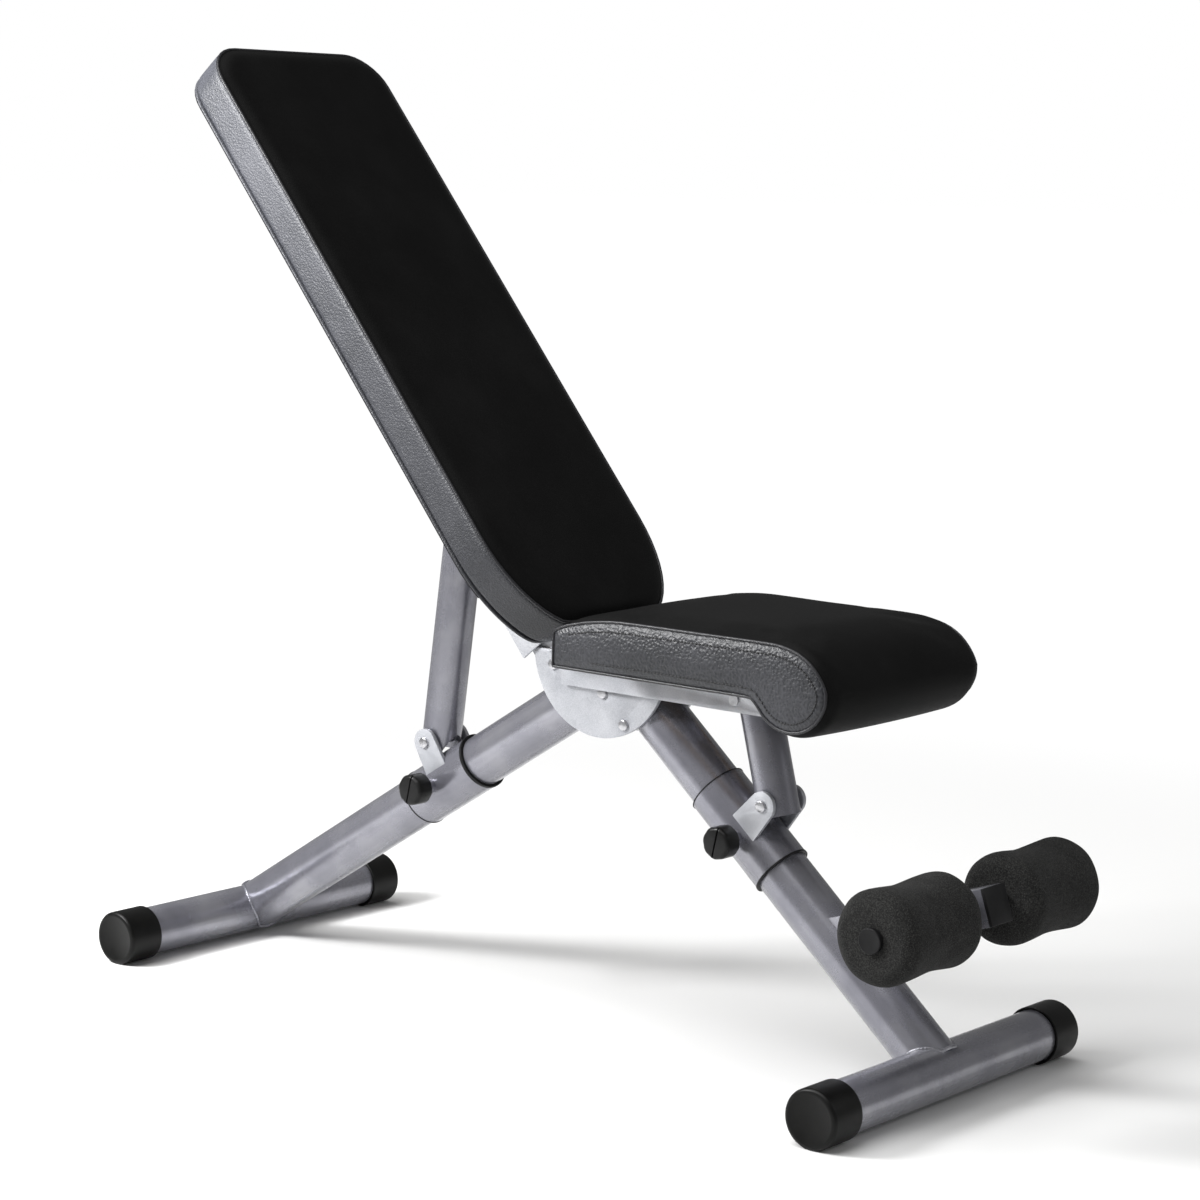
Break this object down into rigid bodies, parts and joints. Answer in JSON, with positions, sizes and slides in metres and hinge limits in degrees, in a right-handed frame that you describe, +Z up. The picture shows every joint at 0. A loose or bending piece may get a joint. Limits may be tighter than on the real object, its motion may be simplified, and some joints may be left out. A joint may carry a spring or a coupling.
{
  "type": "adjustable weight bench",
  "caption": "Adjustable weight bench: reclining padded backrest and tilting padded seat on a splayed tube frame, with sliding prop sleeves, hand knobs and foam leg rollers.",
  "frame": {"origin": "on the floor, at the middle of the bench's overall length and width", "axes": "+X forwards to the foam rollers, +Y to the sitter's left, +Z up"},
  "size_m": [1.1348, 0.46, 1.0804],
  "materials": {
    "frame_paint": "satin metallic silver paint",
    "plate_paint": "light silver paint",
    "zinc": "zinc plated",
    "black_plastic": "satin black moulded plastic",
    "knob_plastic": "black moulded plastic, semi-gloss",
    "cap_rubber": "black moulded rubber",
    "board": "plain plywood",
    "pad_cover": "black leatherette, a coated upholstery fabric over foam",
    "foam": "charcoal closed-cell foam, fine grained"
  },
  "bodies": {
    "frame": {"rear_foot_tube": "frame_paint", "front_foot_tube": "frame_paint", "rear_foot_cap_left": "cap_rubber", "rear_foot_cap_right": "cap_rubber", "front_foot_cap_left": "cap_rubber", "front_foot_cap_right": "cap_rubber", "rear_leg_tube": "frame_paint", "front_leg_tube": "frame_paint", "hub_plate_left": "plate_paint", "hub_plate_right": "plate_paint", "hub_top_plate": "plate_paint", "hub_bolts": "zinc", "hub_nuts": "zinc", "back_pivot_bolt": "zinc", "seat_pivot_bolt": "zinc", "seat_pivot_spacers": "black_plastic", "roller_arm": "frame_paint", "roller_arm_plug": "black_plastic", "roller_axle": "zinc", "roller_spacers": "black_plastic", "roller_end_caps": "black_plastic"},
    "rear_sleeve": {"rear_sleeve_tube": "frame_paint", "rear_sleeve_bushes": "black_plastic", "rear_sleeve_ears": "plate_paint", "rear_strut_pin": "zinc", "rear_knob_boss": "frame_paint"},
    "rear_strut": {"rear_strut_tube": "frame_paint", "rear_strut_top_pin": "zinc"},
    "rear_clamp": {"rear_clamp_pad": "black_plastic"},
    "rear_knob": {"rear_knob_stud": "zinc", "rear_knob_grip": "knob_plastic"},
    "front_sleeve": {"front_sleeve_tube": "frame_paint", "front_sleeve_bushes": "black_plastic", "front_sleeve_ears": "plate_paint", "front_strut_pin": "zinc", "front_knob_boss": "frame_paint"},
    "front_strut": {"front_strut_tube": "frame_paint"},
    "front_clamp": {"front_clamp_pad": "black_plastic"},
    "front_knob": {"front_knob_stud": "zinc", "front_knob_grip": "knob_plastic"},
    "backrest": {"back_channel": "plate_paint", "back_hinge_plates": "plate_paint", "back_hinge_bush": "frame_paint", "back_pad_tabs": "plate_paint", "back_board": "board", "back_pad": "pad_cover", "back_pad_screws": "zinc"},
    "seat": {"seat_rail_left": "plate_paint", "seat_rail_right": "plate_paint", "seat_cross_bar": "frame_paint", "front_strut_bolt": "zinc", "seat_board": "board", "seat_pad": "pad_cover", "seat_pad_screws": "zinc"},
    "left_roller": {"roller_core_left": "black_plastic", "roller_foam_left": "foam"},
    "right_roller": {"roller_core_right": "black_plastic", "roller_foam_right": "foam"}
  },
  "joints": [
    {"name": "back_recline", "type": "hinge", "parent": "frame", "child": "backrest", "pos_m": [-0.02365, 0, 0.404], "axis": [0, -1, 0], "range_deg": [-24.8, 50.2]},
    {"name": "rear_sleeve_slide", "type": "slide", "parent": "frame", "child": "rear_sleeve", "axis": [0.8453, 0, 0.5344], "range_m": [-0.295, 0.147]},
    {"name": "rear_strut_swing", "type": "hinge", "parent": "rear_sleeve", "child": "rear_strut", "pos_m": [-0.22346, 0, 0.28594], "axis": [0, -1, 0], "range_deg": [-20, 10]},
    {"name": "rear_clamp_travel", "type": "slide", "parent": "rear_sleeve", "child": "rear_clamp", "axis": [0, -1, 0], "range_m": [0, 0.0023]},
    {"name": "rear_knob_turn", "type": "hinge", "parent": "rear_clamp", "child": "rear_knob", "pos_m": [-0.21107, 0, 0.23639], "axis": [0, -1, 0], "range_deg": [0, 540]},
    {"name": "seat_tilt", "type": "hinge", "parent": "frame", "child": "seat", "pos_m": [0.03235, 0, 0.412], "axis": [0, -1, 0], "range_deg": [0, 15]},
    {"name": "front_sleeve_slide", "type": "slide", "parent": "frame", "child": "front_sleeve", "axis": [-0.7593, 0, 0.6508], "range_m": [0, 0.078]},
    {"name": "front_strut_swing", "type": "hinge", "parent": "front_sleeve", "child": "front_strut", "pos_m": [0.26659, 0, 0.28422], "axis": [0, -1, 0], "range_deg": [-27.2, 0]},
    {"name": "front_clamp_travel", "type": "slide", "parent": "front_sleeve", "child": "front_clamp", "axis": [0, -1, 0], "range_m": [0, 0.0023]},
    {"name": "front_knob_turn", "type": "hinge", "parent": "front_clamp", "child": "front_knob", "pos_m": [0.23531, 0, 0.24465], "axis": [0, -1, 0], "range_deg": [0, 540]},
    {"name": "left_roller_spin", "type": "hinge", "parent": "frame", "child": "left_roller", "pos_m": [0.51745, 0, 0.21], "axis": [0, 1, 0], "continuous": true},
    {"name": "right_roller_spin", "type": "hinge", "parent": "frame", "child": "right_roller", "pos_m": [0.51745, 0, 0.21], "axis": [0, 1, 0], "continuous": true}
  ],
  "couplings": [
    {"joint": "rear_sleeve_slide", "follows": "back_recline", "m_per_rad": -0.334},
    {"joint": "rear_strut_swing", "follows": "back_recline", "ratio": -0.39},
    {"joint": "front_sleeve_slide", "follows": "seat_tilt", "m_per_rad": 0.295},
    {"joint": "front_strut_swing", "follows": "seat_tilt", "ratio": -1.8},
    {"joint": "rear_clamp_travel", "follows": "rear_knob_turn", "m_per_rad": 0.00023873},
    {"joint": "front_clamp_travel", "follows": "front_knob_turn", "m_per_rad": 0.00023873}
  ]
}
